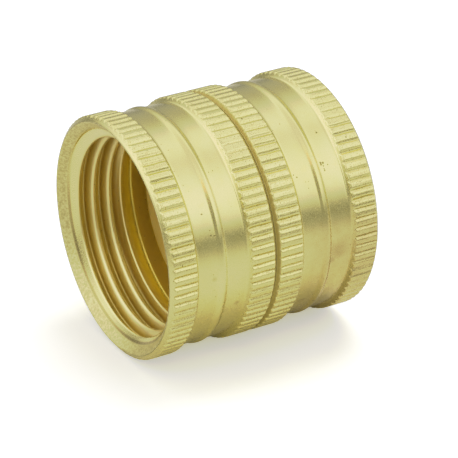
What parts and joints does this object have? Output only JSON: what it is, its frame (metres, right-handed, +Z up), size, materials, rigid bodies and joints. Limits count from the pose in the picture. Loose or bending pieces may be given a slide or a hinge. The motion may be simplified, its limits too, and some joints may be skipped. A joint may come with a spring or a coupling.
{
  "type": "union fitting",
  "caption": "Double female garden hose union: knurled swivel nuts with internal hose thread, turning on a flanged nipple, each with a flat washer.",
  "frame": {"origin": "centre of the fitting, on the common axis of the nuts, midway between the two mouths", "axes": "+X along the fitting's axis towards the right nut's mouth, +Z up with the fitting lying on its side, +Y across"},
  "size_m": [0.0292, 0.0306, 0.0306],
  "materials": {
    "nut_brass": "satin turned brass with a fine blasted grain, small pits and bright worn edges",
    "nipple_brass": "smooth formed brass",
    "washer": "soft amber vinyl, slightly glossy"
  },
  "bodies": {
    "nipple": {"centre_nipple": "nipple_brass"},
    "left_nut": {"left_swivel_nut": "nut_brass"},
    "right_nut": {"right_swivel_nut": "nut_brass"},
    "left_washer": {"left_hose_washer": "washer"},
    "right_washer": {"right_hose_washer": "washer"}
  },
  "joints": [
    {"name": "left_nut_swivel", "type": "hinge", "parent": "nipple", "child": "left_nut", "pos_m": [-0.00735, 0, 0], "axis": [1, 0, 0], "continuous": true},
    {"name": "right_nut_swivel", "type": "hinge", "parent": "nipple", "child": "right_nut", "pos_m": [0.00735, 0, 0], "axis": [1, 0, 0], "continuous": true},
    {"name": "left_washer_withdraw", "type": "slide", "parent": "nipple", "child": "left_washer", "axis": [-1, 0, 0], "range_m": [0, 0.016]},
    {"name": "right_washer_withdraw", "type": "slide", "parent": "nipple", "child": "right_washer", "axis": [1, 0, 0], "range_m": [0, 0.016]}
  ]
}
